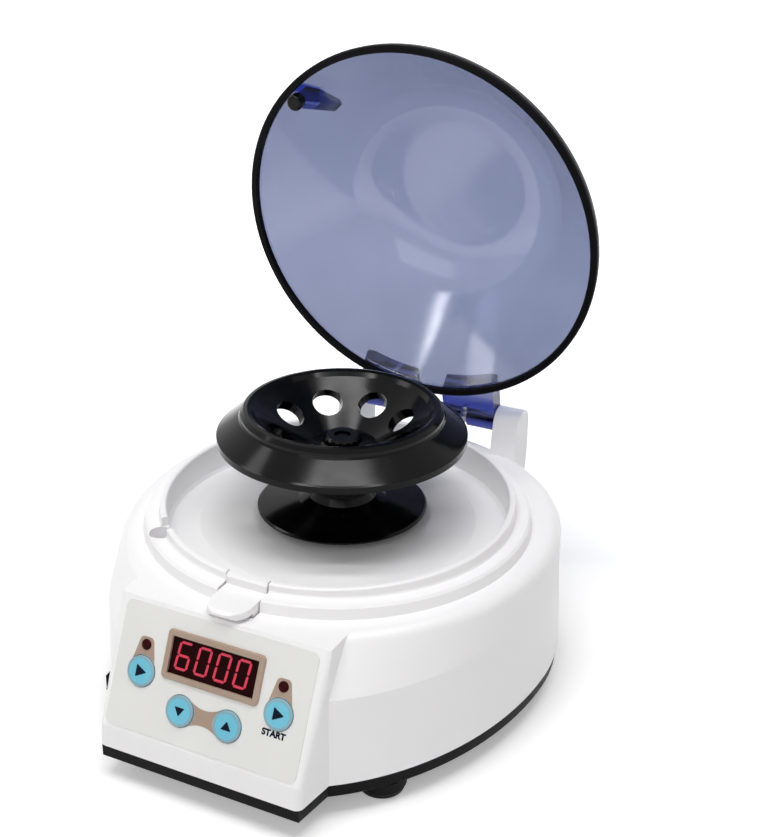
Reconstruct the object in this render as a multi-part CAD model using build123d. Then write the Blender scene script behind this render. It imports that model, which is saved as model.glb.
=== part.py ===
from build123d import *
import math
import os

# Mini centrifuge with a hinged clear lid, shown with the lid open.
# Millimetres, +Z up, feet on z = 0, control panel towards -Y.
# Everything is first placed about the rotor axis, then moved so that the
# middle of the machine's footprint lies on the origin.

# Body outline
body_half_width = 80.5
body_front_reach = 104.0
body_middle_y = 3.8
wall_draft_per_mm = 0.041
deck_side_inset = 1.5
deck_half_width = body_half_width - deck_side_inset
deck_front_reach = 87.0
deck_edge_radius = 4.5
shell_wall = 2.5

# Heights, stacked up from the table
foot_height = 7.2
plate_edge_height = 5.4
lower_wall_height = 32.0
shoulder_height = 17.0
ring_height = 4.5
bead_front_height = 3.0
bead_rear_height = 6.5
bead_edge_radius = 0.7
bowl_floor_depth = 2.0
bowl_floor_rise = 5.8

# Chin that carries the control panel
chin_front_y = -101.8
chin_half_width_front = 38.4
chin_half_width_back = 40.6
chin_corner_y = -85.5
chin_root_y = -60.0
chin_top_narrowing = 1.1
chin_band_height = 8.0
chin_panel_setback = 0.8
chin_top_y = -82.2
chin_edge_radius = 2.6

# Lid seat round the bowl
ring_middle_y = -3.0
ring_radius = 70.6
ring_draft = 0.7
bead_outer_radius = 64.5
bowl_radius = 62.0
bowl_hub_radius = 30.0
bowl_floor_wall = 2.2
spindle_hole_radius = 20.0

# Lid
lid_outer_radius = 71.3
lid_wall = 1.9
lid_edge_overlap = 0.45
lid_seat_gap = 0.5
lid_rim_height = 4.0
lid_flank_angle = 52.0
lid_crown_height = 47.0
lid_shoulder_radius = 30.0
lid_open_angle = 80.7
seal_height = 1.7
seal_lip = 0.35

# Hinge
hinge_y = 78.8
hinge_height_over_deck = 11.3
hinge_barrel_radius = 4.5
hinge_pin_radius = 1.5
running_clearance = 0.05
lug_inner_x = 6.3
lug_outer_x = 28.7
tower_side_gap = 0.5
tower_thickness = 10.3
tower_top_radius = 6.2
tower_foot_front_y = 70.0

# Lid finger and its socket
finger_angle = 44.0
finger_ring_radius = 65.4
finger_width = 4.6
finger_drop = 1.0
finger_tip_radius = 3.0
finger_tip_length = 4.0
socket_radius = 4.2
socket_depth = 8.5

# Lid release lever
lever_half_width = 7.7
lever_side_gap = 0.5
lever_front_y = -84.0
lever_back_y = -64.6
lever_wall_front_y = -67.6
lever_pin_y = -73.6
lever_pin_drop = 2.6
lever_pin_radius = 1.2
lever_tongue_top = 3.8
lever_tongue_thickness = 2.4

# Rotor
rotor_rim_radius = 45.0
rotor_rim_z = 92.5
rotor_rim_height = 2.8
rotor_band_radius = 37.0
rotor_band_z = 101.1
rotor_top_radius = 36.0
rotor_top_z = 104.6
rotor_mouth_radius = 31.5
rotor_floor_radius = 12.6
rotor_floor_z = 89.6
rotor_wall = 2.6
tube_count = 8
tube_ring_radius = 22.0
tube_hole_radius = 5.6
tube_first_angle = 87.3
hub_radius = 8.0
hub_length = 8.0
nut_radius = 6.8
nut_height = 3.8

# Drive
spindle_radius = 6.0
spindle_flange_radius = 8.0
spindle_flange_height = 2.0
spindle_neck_radius = 4.0
spindle_length = 22.0
motor_shaft_radius = 1.58
shroud_radius = 31.0
shroud_edge_height = 1.1
shroud_neck_radius = 11.0
shroud_neck_height = 10.5
motor_radius = 14.0
motor_length = 38.0
motor_plate_radius = 30.0
motor_plate_thickness = 2.0
standoff_count = 3
standoff_ring_radius = 24.0
standoff_radius = 4.0
grommet_radius = 6.0
grommet_height = 5.0
screw_radius = 1.5
screw_head_radius = 2.8
screw_head_height = 1.8

# Base plate and feet
plate_floor = 2.6
plate_lip_height = 3.4
plate_lip_wall = 1.8
plate_lip_gap = 0.25
plate_edge_chamfer = 0.7
foot_radius = 8.5
foot_front_inset = 31.5
foot_front_x = body_half_width - foot_front_inset
foot_front_y = -64.5
foot_rear_inset = 34.5
foot_rear_x = body_half_width - foot_rear_inset
foot_rear_y = 52.0
foot_stem_radius = 3.0
boss_radius = 3.6
boss_inset = 22.5
boss_x = body_half_width - boss_inset
boss_front_y = -36.0
boss_rear_y = 40.0

# Control panel, measured along its slope from its lower edge
overlay_half_width = 36.3
overlay_low = 1.2
overlay_high = 43.6
overlay_thickness = 0.3
window_width = 33.4
window_height = 13.2
window_middle = 29.7
bezel_border = 1.7
bezel_proud = 0.8
side_key_x = 26.1
side_key_height = 21.2
arrow_key_x = 9.0
arrow_key_height = 12.4
key_radius = 5.2
key_gap = 0.2
key_proud = 0.6
key_flange = 1.2
key_travel = 0.4
switch_tip_depth = 5.0
led_x = 26.0
led_height = 30.2
led_radius = 1.8
board_half_width = 33.0
board_low = 3.0
board_high = 37.5
board_depth = 9.0
board_thickness = 1.6
post_radius = 2.5

# Power inlet and power switch
jack_z = 26.0
jack_flange_radius = 7.0
jack_thread_radius = 4.5
jack_bore_radius = 2.75
jack_pin_radius = 1.0
jack_length = 12.0
rocker_y = -90.3
rocker_z = 29.6
rocker_width = 4.6
rocker_height = 7.6
rocker_frame_border = 1.1
rocker_frame_proud = 0.8
rocker_pivot_depth = 1.2
rocker_pivot_radius = 0.7

# Heights worked out from the stack
plate_top_z = foot_height + plate_edge_height
crease_z = plate_top_z + lower_wall_height
deck_z = crease_z + shoulder_height
ring_top_z = deck_z + ring_height
bead_top_z = ring_top_z + bead_rear_height
floor_edge_z = deck_z - bowl_floor_depth
floor_hub_z = floor_edge_z + bowl_floor_rise
floor_inside_z = foot_height + plate_floor
lid_rim_z = ring_top_z + lid_seat_gap
hinge_z = deck_z + hinge_height_over_deck

# Panel plane: local x is +X, local y climbs the slope, local z points out
panel_low_y = chin_front_y + chin_panel_setback
panel_low_z = plate_top_z + chin_band_height
panel_rise = deck_z - panel_low_z
panel_run = chin_top_y - panel_low_y
panel_length = math.hypot(panel_rise, panel_run)
panel_up = Vector(0, panel_run / panel_length, panel_rise / panel_length)
panel_out = Vector(0, -panel_up.Z, panel_up.Y)
panel = Plane(origin=(0, panel_low_y, panel_low_z), x_dir=(1, 0, 0), z_dir=panel_out)


def block(x_span, y_span, z_span):
    """Box between two coordinates on each axis."""
    spans = (x_span, y_span, z_span)
    middle = [(low + high) / 2 for low, high in spans]
    size = [high - low for low, high in spans]
    return Pos(*middle) * Box(*size)


def rod(radius, low, high, x=0.0, y=0.0):
    """Upright cylinder between two heights."""
    return Pos(x, y, (low + high) / 2) * Cylinder(radius, high - low)


def cross_rod(radius, low, high, y, z):
    """Cylinder along X between two coordinates."""
    return Pos((low + high) / 2, y, z) * Rot(0, 90, 0) * Cylinder(radius, high - low)


def turned(points, y=0.0):
    """Solid turned about an upright axis from (radius, height) points."""
    outline = Plane.XZ * make_face(Polyline(*points, close=True))
    return Pos(0, y, 0) * revolve(outline, Axis.Z)


def on_panel(shape, x, height, depth):
    """Put a shape on the control panel, sunk by depth."""
    return panel.location * Pos(x, height, -depth) * shape


def oval_face(half_width, front_reach, z):
    """Body outline: half an ellipse in front, half a circle behind."""
    middle = (0, body_middle_y)
    front = EllipticalCenterArc(middle, half_width, front_reach, 180, arc_size=180)
    rear = CenterArc(middle, half_width, 0, 180)
    return Pos(0, 0, z) * make_face(front + rear)


def drum(inset, low_z, top_z):
    """Body of the housing without the chin, all walls moved in by inset."""
    width = body_half_width - inset
    reach = body_front_reach - inset
    draft = wall_draft_per_mm * (crease_z - low_z)
    foot = oval_face(width, reach, low_z)
    crease = oval_face(width - draft, reach - draft, crease_z)
    deck = oval_face(deck_half_width - inset, deck_front_reach - inset, top_z)
    return loft([foot, crease], ruled=True) + loft([crease, deck], ruled=True)


def ahead_of_panel(inset):
    """Space in front of the panel wall moved in by inset."""
    size = 4 * body_half_width
    return panel.location * Pos(0, 0, size / 2 - inset) * Box(size, size, size)


def chin_plan(narrowing, inset, z):
    """Plan of the chin at one height, its root buried in the drum."""
    front = chin_half_width_front - narrowing - inset
    back = chin_half_width_back - narrowing - inset
    points = [
        (-front, chin_front_y + inset),
        (front, chin_front_y + inset),
        (back, chin_corner_y),
        (back, chin_root_y),
        (-back, chin_root_y),
        (-back, chin_corner_y),
    ]
    return Pos(0, 0, z) * make_face(Polyline(*points, close=True))


def chin(inset, low_z, top_z):
    """Wedge under the control panel, all walls moved in by inset."""
    plan = loft([chin_plan(0, inset, low_z), chin_plan(chin_top_narrowing, inset, top_z)], ruled=True)
    panel_shift = inset / panel_up.Z
    side = [
        (chin_front_y + inset, low_z),
        (panel_low_y + panel_shift, panel_low_z),
        (panel_low_y + panel_shift + (top_z - panel_low_z) * panel_run / panel_rise, top_z),
        (chin_root_y, top_z),
        (chin_root_y, low_z),
    ]
    wedge = extrude(Plane.YZ * make_face(Polyline(*side, close=True)), body_half_width, both=True)
    return plan & wedge


def rounded_chin():
    """Chin with its front corners and panel edges rounded."""
    raw = chin(0, plate_top_z, deck_z)
    front = raw.edges().filter_by(lambda edge: edge.center().Y < chin_corner_y - 1)
    corners = front.filter_by(lambda edge: abs(edge.center().X) > chin_half_width_front / 2)
    corners = corners.filter_by(lambda edge: edge.bounding_box().size.Z > 1)
    return fillet(corners, chin_edge_radius)


def rounded_drum():
    """Drum with a rounded deck edge, cut back to the panel."""
    raw = drum(0, plate_top_z, deck_z)
    raw = fillet(raw.edges().filter_by_position(Axis.Z, deck_z - 0.1, deck_z + 0.1), deck_edge_radius)
    return raw - ahead_of_panel(0)


def bowl_underside():
    """Block left standing in the cavity to carry the bowl."""
    thickness = bowl_floor_wall
    points = [
        (0, floor_hub_z - thickness),
        (bowl_hub_radius, floor_hub_z - thickness),
        (bowl_radius, floor_edge_z - thickness),
        (bead_outer_radius, floor_edge_z - thickness),
        (bead_outer_radius, deck_z),
        (0, deck_z),
    ]
    return turned(points, ring_middle_y)


def bowl_space():
    """Air of the bowl, from its floor to above the bead."""
    points = [
        (0, floor_hub_z),
        (bowl_hub_radius, floor_hub_z),
        (bowl_radius - 1, floor_edge_z),
        (bowl_radius, floor_edge_z + 1),
        (bowl_radius, bead_top_z + 1),
        (0, bead_top_z + 1),
    ]
    return turned(points, ring_middle_y)


def lid_seat():
    """Raised ring for the lid, with the bead that stands inside it."""
    points = [
        (bowl_radius - 4, deck_z - 1),
        (ring_radius, deck_z - 1),
        (ring_radius, deck_z),
        (ring_radius - ring_draft, ring_top_z - 0.8),
        (ring_radius - ring_draft - 0.8, ring_top_z),
        (bead_outer_radius + 0.4, ring_top_z),
        (bead_outer_radius, ring_top_z + 0.6),
        (bead_outer_radius - 0.3, bead_top_z + 1),
        (bowl_radius - 4, bead_top_z + 1),
    ]
    seat = turned(points, ring_middle_y)
    seat -= rod(bowl_radius, deck_z, bead_top_z + 2, 0, ring_middle_y)
    rise = bead_rear_height - bead_front_height
    slope = math.degrees(math.atan2(rise, 2 * bead_outer_radius))
    trim = Pos(0, ring_middle_y, bead_top_z - rise / 2) * Rot(slope, 0, 0)
    seat -= trim * Pos(0, 0, 20) * Box(160, 160, 40)
    bead_top = seat.faces().sort_by(Axis.Z)[-1]
    return fillet(bead_top.edges(), bead_edge_radius)


def hinge_tower(side):
    """Bracket behind the ring that holds one end of the hinge pin."""
    near = lug_outer_x + tower_side_gap
    far = near + tower_thickness
    top = Pos(hinge_y, hinge_z) * Circle(tower_top_radius)
    back_y = hinge_y + tower_top_radius
    foot_points = [
        (tower_foot_front_y, deck_z - 2),
        (back_y, deck_z - 2),
        (back_y, hinge_z),
        (tower_foot_front_y + 2.5, deck_z + 5),
    ]
    lower_points = [
        (tower_foot_front_y, deck_z - 2),
        (back_y, deck_z - 2),
        (body_middle_y + deck_half_width, crease_z),
        (tower_foot_front_y, crease_z),
    ]
    hull = make_hull(top.edges() + make_face(Polyline(*foot_points, close=True)).edges())
    profile = hull + make_face(Polyline(*lower_points, close=True))
    body = extrude(Plane.YZ * profile, tower_thickness)
    start = near if side > 0 else -far
    tower = Pos(start, 0, 0) * body
    bore = cross_rod(hinge_pin_radius, -far + 1.5, far - 1.5, hinge_y, hinge_z)
    return tower - bore


def finger_point(radius):
    """Plan point on the finger's ray from the middle of the lid seat."""
    angle = math.radians(finger_angle)
    return -radius * math.sin(angle), ring_middle_y - radius * math.cos(angle)


def finger_socket():
    """Pocket in the lid seat that the lid's finger drops into."""
    x, y = finger_point(finger_ring_radius)
    pocket = rod(socket_radius, ring_top_z - socket_depth, bead_top_z + 1, x, y)
    slot = Pos(x, y, (ring_top_z + bead_top_z + 1) / 2)
    slot *= Rot(0, 0, -finger_angle)
    slot *= Box(2 * socket_radius, 12, bead_top_z + 1 - ring_top_z)
    return pocket + slot


def lever_pocket():
    """Slot through bead and ring that the release lever works in."""
    half = lever_half_width + lever_side_gap
    low = deck_z - 5.5
    inner = block((-half, half), (lever_pin_y - 3.4, lever_back_y + 1.6), (low, bead_top_z + 1))
    outer = block((-half, half), (-ring_radius + ring_middle_y - 5, lever_back_y), (deck_z, bead_top_z + 1))
    return inner + outer


def lever_boss():
    """Wall left round the lever's pocket inside the housing."""
    half = lever_half_width + lever_side_gap + 2
    return block((-half, half), (lever_pin_y - 5.2, lever_back_y + 3.4), (deck_z - 7.5, deck_z))


def screw_places():
    """Plan places of the four screws that close the housing."""
    return [(x, y) for x in (-boss_x, boss_x) for y in (boss_front_y, boss_rear_y)]


def foot_places():
    """Plan places of the four feet."""
    rows = ((foot_front_x, foot_front_y), (foot_rear_x, foot_rear_y))
    return [(side * x, y) for x, y in rows for side in (-1, 1)]


def board_post_places():
    """Panel places of the four posts that carry the control board."""
    return [(x, y) for x in (-board_half_width + 3, board_half_width - 3) for y in (board_low + 3, board_high - 3)]


def key_places():
    """Panel places of the keys, by name."""
    return {
        "key_pulse": (-side_key_x, side_key_height),
        "key_start": (side_key_x, side_key_height),
        "key_down": (-arrow_key_x, arrow_key_height),
        "key_up": (arrow_key_x, arrow_key_height),
    }


def panel_openings():
    """Holes through the panel wall for display, keys and lamps."""
    depth = shell_wall + 4
    cuts = on_panel(Box(window_width + 0.6, window_height + 0.6, depth), 0, window_middle, 0)
    for x, height in key_places().values():
        cuts += on_panel(Cylinder(key_radius + key_gap, depth), x, height, 0)
    for x in (-led_x, led_x):
        cuts += on_panel(Cylinder(led_radius + 0.2, depth), x, led_height, 0)
    return cuts


def board_posts():
    """Posts on the back of the panel wall, bored for the board screws."""
    length = board_depth - shell_wall + 1
    posts = Part()
    for x, height in board_post_places():
        post = Cylinder(post_radius, length) - Cylinder(1.0, length + 2)
        posts += on_panel(post, x, height, board_depth - length / 2)
    return posts


def jack_y():
    """Seat of the power inlet's flange on the rear wall."""
    draft = wall_draft_per_mm * (jack_z - plate_top_z)
    return body_middle_y + body_half_width - draft - 1.6


def rocker_face_x():
    """Distance of the chin's side wall from the middle at the switch."""
    along = (rocker_y - chin_front_y) / (chin_corner_y - chin_front_y)
    wide = chin_half_width_front + along * (chin_half_width_back - chin_half_width_front)
    return wide - chin_top_narrowing * (rocker_z - plate_top_z) / (deck_z - plate_top_z)


def upper_housing():
    """White moulded housing: drum, chin, lid seat and bowl in one shell."""
    outer = rounded_drum() + rounded_chin()
    roof = deck_z - shell_wall
    hollow_drum = drum(shell_wall, plate_top_z - 1, roof) - ahead_of_panel(shell_wall)
    cavity = hollow_drum + chin(shell_wall, plate_top_z - 1, roof)
    cavity -= bowl_underside()
    cavity -= lever_boss()
    x, y = finger_point(finger_ring_radius)
    cavity -= rod(socket_radius + 1.8, ring_top_z - socket_depth - 2, deck_z, x, y)
    back = jack_y()
    pad = jack_flange_radius + 2
    cavity -= block((-pad, pad), (back - 3.5, back + 3), (plate_top_z - 2, jack_z + pad))
    shell = outer - cavity
    shell += lid_seat()
    shell -= bowl_space()
    shell -= rod(spindle_hole_radius, floor_edge_z - 5, bead_top_z, 0, 0)
    for side in (-1, 1):
        shell += hinge_tower(side) - drum(shell_wall, plate_top_z, roof)
    shell -= finger_socket()
    shell -= lever_pocket()
    shell -= cross_rod(lever_pin_radius, -lever_half_width - 2, lever_half_width + 2, lever_pin_y, deck_z - lever_pin_drop)
    shell += board_posts()
    shell -= panel_openings()
    seat = Pos(0, back + 5, jack_z) * Rot(90, 0, 0) * Cylinder(jack_flange_radius + 0.3, 10)
    shell -= seat
    shell -= Pos(0, back, jack_z) * Rot(90, 0, 0) * Cylinder(jack_thread_radius + 0.1, 20)
    shell -= switch_seat() * Box(12, rocker_width, rocker_height)
    for place in screw_places():
        post = rod(boss_radius, floor_inside_z + 2.2, roof + 0.5, *place)
        shell += post - rod(screw_radius, floor_inside_z, floor_inside_z + 14, *place)
    return shell


def switch_seat():
    """Place of the power switch: local -X points out of the side wall."""
    splay = math.atan2(chin_half_width_back - chin_half_width_front, chin_corner_y - chin_front_y)
    return Pos(-rocker_face_x(), rocker_y, rocker_z) * Rot(0, 0, math.degrees(splay))


def base_plate():
    """Black tray that closes the housing from below."""
    low = oval_face(body_half_width - 0.6, body_front_reach - 0.6, foot_height)
    edge = extrude(low, plate_edge_height)
    tongue = extrude(chin_plan(0, 0.6, foot_height), plate_edge_height)
    plate = edge + tongue
    rim = plate.edges().filter_by_position(Axis.Z, foot_height - 0.1, foot_height + 0.1)
    plate = chamfer(rim, plate_edge_chamfer)
    gap = shell_wall + plate_lip_gap
    lip_top = plate_top_z + plate_lip_height
    lip = extrude(oval_face(body_half_width - gap - 0.3, body_front_reach - gap - 0.3, foot_height + 2), lip_top - foot_height - 2)
    inner = gap + plate_lip_wall
    lip += extrude(chin_plan(0.2, gap + 0.8, foot_height + 2), lip_top - foot_height - 2)
    hollow = extrude(oval_face(body_half_width - inner, body_front_reach - inner, floor_inside_z), lip_top)
    hollow += extrude(chin_plan(0.2, inner + 0.8, floor_inside_z), lip_top)
    plate = plate + lip - hollow
    pad = jack_flange_radius + 2.5
    plate -= block((-pad, pad), (jack_y() - 5, jack_y() + 10), (plate_top_z, lip_top + 1))
    for place in foot_places():
        plate += rod(foot_stem_radius + 2, floor_inside_z - 1, floor_inside_z + 1.6, *place)
        plate -= rod(foot_stem_radius, foot_height - 1, floor_inside_z + 5, *place)
    for place in screw_places():
        plate += rod(boss_radius + 1.6, floor_inside_z - 1, floor_inside_z + 2.2, *place)
        plate -= rod(screw_head_radius + 0.4, foot_height - 1, foot_height + screw_head_height + 0.4, *place)
        plate -= rod(screw_radius, foot_height - 1, floor_inside_z + 5, *place)
    for x, y in standoff_places():
        plate += rod(standoff_radius + 1.5, floor_inside_z - 1, floor_inside_z + 1.5, x, y)
    for row in (-1, 1):
        for column in range(-2, 3):
            slot = SlotOverall(18, 3, rotation=90)
            slot = Pos(8 * column, 46 * row + 4, foot_height - 1) * slot
            plate -= extrude(slot, plate_floor + 2)
    return plate


def standoff_places():
    """Plan places of the posts that carry the motor plate."""
    places = []
    for index in range(standoff_count):
        angle = math.radians(90 + 360 / standoff_count * index)
        places.append((standoff_ring_radius * math.cos(angle), standoff_ring_radius * math.sin(angle)))
    return places


def motor_plate_z():
    """Underside of the motor plate."""
    return floor_hub_z - bowl_floor_wall - 8.0


def rubber_feet():
    """Domed push-in feet."""
    feet = []
    for x, y in foot_places():
        dome = turned([
            (0, 0),
            (foot_radius - 2.6, 0),
            (foot_radius - 0.9, 1.2),
            (foot_radius, 3.4),
            (foot_radius, foot_height),
            (foot_stem_radius, foot_height),
            (foot_stem_radius, floor_inside_z + 1.6),
            (foot_stem_radius + 0.8, floor_inside_z + 1.6),
            (foot_stem_radius, floor_inside_z + 3.2),
            (0, floor_inside_z + 3.2),
        ])
        feet.append(Pos(x, y, 0) * dome)
    return feet


def pan_screw(length):
    """Screw standing on its head, shank up, with a cross recess."""
    head = rod(screw_head_radius, 0, screw_head_height)
    rim = head.edges().filter_by_position(Axis.Z, -0.1, 0.1)
    head = fillet(rim, 0.8)
    recess = Box(3.2, 0.8, 1.6) + Box(0.8, 3.2, 1.6)
    return head - recess + rod(screw_radius, screw_head_height - 0.1, screw_head_height + length)


def housing_screws():
    """Screws from below through the plate into the housing posts."""
    return [Pos(x, y, foot_height + 0.4) * pan_screw(12) for x, y in screw_places()]


def motor_plate():
    """Steel plate that carries the motor on soft grommets."""
    low = motor_plate_z()
    plate = rod(motor_plate_radius, low, low + motor_plate_thickness)
    plate -= rod(4.2, low - 1, low + 5)
    for x, y in standoff_places():
        plate -= rod(screw_radius + 0.2, low - 1, low + 5, x, y)
    for x in (-8, 8):
        plate -= rod(screw_radius, low - 1, low + 5, x, 0)
    return plate


def motor_standoffs():
    """Hexagonal posts from the base plate up to the grommets."""
    low = floor_inside_z + 1.5
    high = motor_plate_z() - grommet_height
    posts = []
    for x, y in standoff_places():
        post = extrude(Pos(x, y, low) * RegularPolygon(standoff_radius, 6), high - low)
        posts.append(post - rod(screw_radius, high - 10, high + 1, x, y))
    return posts


def mount_grommets():
    """Soft waisted rings between the posts and the motor plate."""
    low = motor_plate_z() - grommet_height
    rings = []
    for x, y in standoff_places():
        ring = turned([
            (screw_radius + 0.1, low),
            (grommet_radius, low),
            (grommet_radius, low + 1.4),
            (grommet_radius - 1.4, low + 2),
            (grommet_radius - 1.4, low + grommet_height - 2),
            (grommet_radius, low + grommet_height - 1.4),
            (grommet_radius, low + grommet_height),
            (screw_radius + 0.1, low + grommet_height),
        ])
        rings.append(Pos(x, y, 0) * ring)
    return rings


def plate_screws():
    """Screws down through the plate and grommets into the posts."""
    top = motor_plate_z() + motor_plate_thickness + screw_head_height
    length = motor_plate_thickness + grommet_height + 7
    return [Pos(x, y, top) * Rot(180, 0, 0) * pan_screw(length) for x, y in standoff_places()]


def motor_screws():
    """Two screws that hold the motor under its plate."""
    top = motor_plate_z() + motor_plate_thickness + screw_head_height
    return [Pos(x, 0, top) * Rot(180, 0, 0) * pan_screw(motor_plate_thickness + 4) for x in (-8, 8)]


def motor():
    """Round motor can with its bearing nose and two terminals."""
    top = motor_plate_z()
    can = rod(motor_radius, top - motor_length, top)
    rims = can.edges().filter_by(GeomType.CIRCLE)
    can = fillet(rims, 1.2)
    can += rod(4.0, top - 1, top + motor_plate_thickness + 1.4)
    for x in (-6, 6):
        can += block((x - 1.2, x + 1.2), (-0.3, 0.3), (top - motor_length - 3.2, top - motor_length + 0.5))
        can -= rod(screw_radius, top - 4.2, top + 1, 8 * x / 6, 0)
    return can - rod(motor_shaft_radius + running_clearance, top - 24, top + 8)


def motor_shaft():
    """Steel shaft from inside the motor up into the spindle."""
    return rod(motor_shaft_radius, motor_plate_z() - 23.5, spindle_low_z() + 14)


def spindle_low_z():
    """Lower end of the spindle."""
    return rotor_floor_z - rotor_wall - hub_length - spindle_length + 8.0


def spindle():
    """Adaptor that grips the motor shaft and carries the rotor."""
    seat = rotor_floor_z - rotor_wall - hub_length
    low = spindle_low_z()
    top = rotor_floor_z + nut_height - 0.8
    body = turned([
        (0, low),
        (spindle_radius, low),
        (spindle_radius, seat - spindle_flange_height - 0.8),
        (spindle_flange_radius, seat - spindle_flange_height),
        (spindle_flange_radius, seat),
        (spindle_neck_radius, seat),
        (spindle_neck_radius, rotor_floor_z - 0.2),
        (spindle_neck_radius - 1, rotor_floor_z - 0.2),
        (spindle_neck_radius - 1, top - 0.6),
        (spindle_neck_radius - 1.6, top),
        (0, top),
    ])
    return body - rod(motor_shaft_radius, low - 1, low + 14)


def rotor_nut():
    """Knurled nut that clamps the rotor to the spindle."""
    low = rotor_floor_z
    nut = turned([
        (spindle_neck_radius - 1, low),
        (nut_radius + 1.0, low),
        (nut_radius + 1.0, low + 0.7),
        (nut_radius, low + 1.0),
        (nut_radius, low + nut_height - 1),
        (nut_radius - 1, low + nut_height),
        (spindle_neck_radius - 1, low + nut_height),
    ])
    groove = Pos(nut_radius + 0.5, 0, low + 1.3 + nut_height / 2) * Cylinder(0.9, nut_height)
    for index in range(16):
        nut -= Rot(0, 0, 22.5 * index) * groove
    return nut


def rotor():
    """Black moulded rotor: skirt, rolled lip and a cup with tube holes."""
    rim_top = rotor_rim_z + rotor_rim_height
    floor_under = rotor_floor_z - rotor_wall
    drop = rotor_wall * 1.25
    body = turned([
        (spindle_neck_radius + 0.02, floor_under - hub_length),
        (hub_radius, floor_under - hub_length),
        (hub_radius + 1, floor_under),
        (rotor_floor_radius + 0.8, floor_under),
        (rotor_mouth_radius + 0.6, rotor_top_z - 3.6 - drop),
        (rotor_band_radius - 2.4, rotor_band_z - 2.4),
        (rotor_rim_radius - 2.2, rim_top - 2.6),
        (rotor_rim_radius - 2.2, rotor_rim_z),
        (rotor_rim_radius, rotor_rim_z),
        (rotor_rim_radius, rim_top - 0.5),
        (rotor_rim_radius - 0.6, rim_top),
        (rotor_band_radius, rotor_band_z),
        (rotor_top_radius + 0.5, rotor_band_z + 0.8),
        (rotor_top_radius + 0.4, rotor_top_z - 1.6),
        (rotor_top_radius - 0.8, rotor_top_z - 0.3),
        (rotor_top_radius - 2.2, rotor_top_z),
        (rotor_mouth_radius + 1.0, rotor_top_z - 0.5),
        (rotor_mouth_radius - 0.4, rotor_top_z - 1.9),
        (rotor_floor_radius, rotor_floor_z),
        (spindle_neck_radius + 0.02, rotor_floor_z),
    ])
    wall_rise = rotor_top_z - 1.9 - rotor_floor_z
    wall_run = rotor_mouth_radius - 0.4 - rotor_floor_radius
    wall_tilt = math.degrees(math.atan2(wall_rise, wall_run))
    hole_z = rotor_floor_z + (tube_ring_radius - rotor_floor_radius) * wall_rise / wall_run
    hole = Pos(tube_ring_radius, 0, hole_z) * Rot(0, -wall_tilt, 0) * Cylinder(tube_hole_radius, 12)
    for index in range(tube_count):
        body -= Rot(0, 0, tube_first_angle + 360 / tube_count * index) * hole
    return body


def spindle_shroud():
    """Black flange on the bowl floor with a neck round the spindle."""
    low = floor_hub_z
    return turned([
        (spindle_radius + 2.2, low - 4),
        (spindle_hole_radius - 0.15, low - 4),
        (spindle_hole_radius - 0.15, low),
        (shroud_radius, low),
        (shroud_radius, low + shroud_edge_height - 0.5),
        (shroud_radius - 0.6, low + shroud_edge_height),
        (shroud_neck_radius + 5, low + 3.0),
        (shroud_neck_radius + 1.4, low + 4.6),
        (shroud_neck_radius, low + 7),
        (shroud_neck_radius - 0.6, low + shroud_neck_height),
        (spindle_radius + 2.2, low + shroud_neck_height),
    ])


def lid_dome_outline(inset):
    """Half section of the dome, all faces moved in by inset."""
    tilt = math.radians(lid_flank_angle)
    rim = lid_outer_radius - lid_edge_overlap - inset
    slope_in = rim - (lid_crown_height - lid_rim_height) / math.tan(tilt) + inset * math.tan(tilt / 2)
    crown = lid_crown_height - inset
    knee = lid_rim_height - inset * math.tan(tilt / 2)
    line = Polyline((0, 0), (rim, 0), (rim, knee), (slope_in, crown), (0, crown), close=True)
    face = make_face(line)
    shoulder = face.vertices().filter_by(lambda vertex: vertex.Y > crown - 1 and vertex.X > 1)
    face = fillet(shoulder, lid_shoulder_radius - inset)
    knee_corner = face.vertices().filter_by(lambda vertex: abs(vertex.Y - knee) < 0.1 and vertex.X > 1)
    return fillet(knee_corner, 2.5 - inset / 2)


def lid_shell(inset):
    """Turned solid of the dome at the closed pose."""
    return Pos(0, ring_middle_y, lid_rim_z) * revolve(Plane.XZ * lid_dome_outline(inset), Axis.Z)


def lid_lug(side):
    """Arm from the lid's rim to the hinge pin, closed pose."""
    rim_y = ring_middle_y + lid_outer_radius - 9
    barrel = Pos(hinge_y, hinge_z) * Circle(hinge_barrel_radius)
    root = [
        (rim_y, lid_rim_z + seal_height + 0.3),
        (rim_y + 6, lid_rim_z + seal_height + 0.3),
        (hinge_y - 4, hinge_z - 3),
        (hinge_y - 3, hinge_z + 3.4),
        (rim_y, hinge_z + 2.2),
    ]
    profile = barrel + make_face(Polyline(*root, close=True))
    start = lug_inner_x if side > 0 else -lug_outer_x
    arm = Pos(start, 0, 0) * extrude(Plane.YZ * profile, lug_outer_x - lug_inner_x)
    gap_start = start + (lug_outer_x - lug_inner_x) * 0.36
    notch = block((gap_start, gap_start + 2.4), (hinge_y - 5.2, hinge_y + 8), (hinge_z - 8, hinge_z + 8))
    return arm - notch


def lid_finger():
    """Rib on the lid that carries the interlock tip, closed pose."""
    inner = finger_ring_radius - 2.6
    outer = finger_ring_radius + 1.6
    low = lid_rim_z - finger_drop
    points = [
        (inner, low),
        (outer, low),
        (outer, lid_rim_z + 8),
        (inner - 7, lid_rim_z + 16),
        (inner - 9, lid_rim_z + 15),
    ]
    plate = extrude(Plane.XZ * make_face(Polyline(*points, close=True)), finger_width / 2, both=True)
    return Pos(0, ring_middle_y, 0) * Rot(0, 0, -90 - finger_angle) * plate


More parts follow.
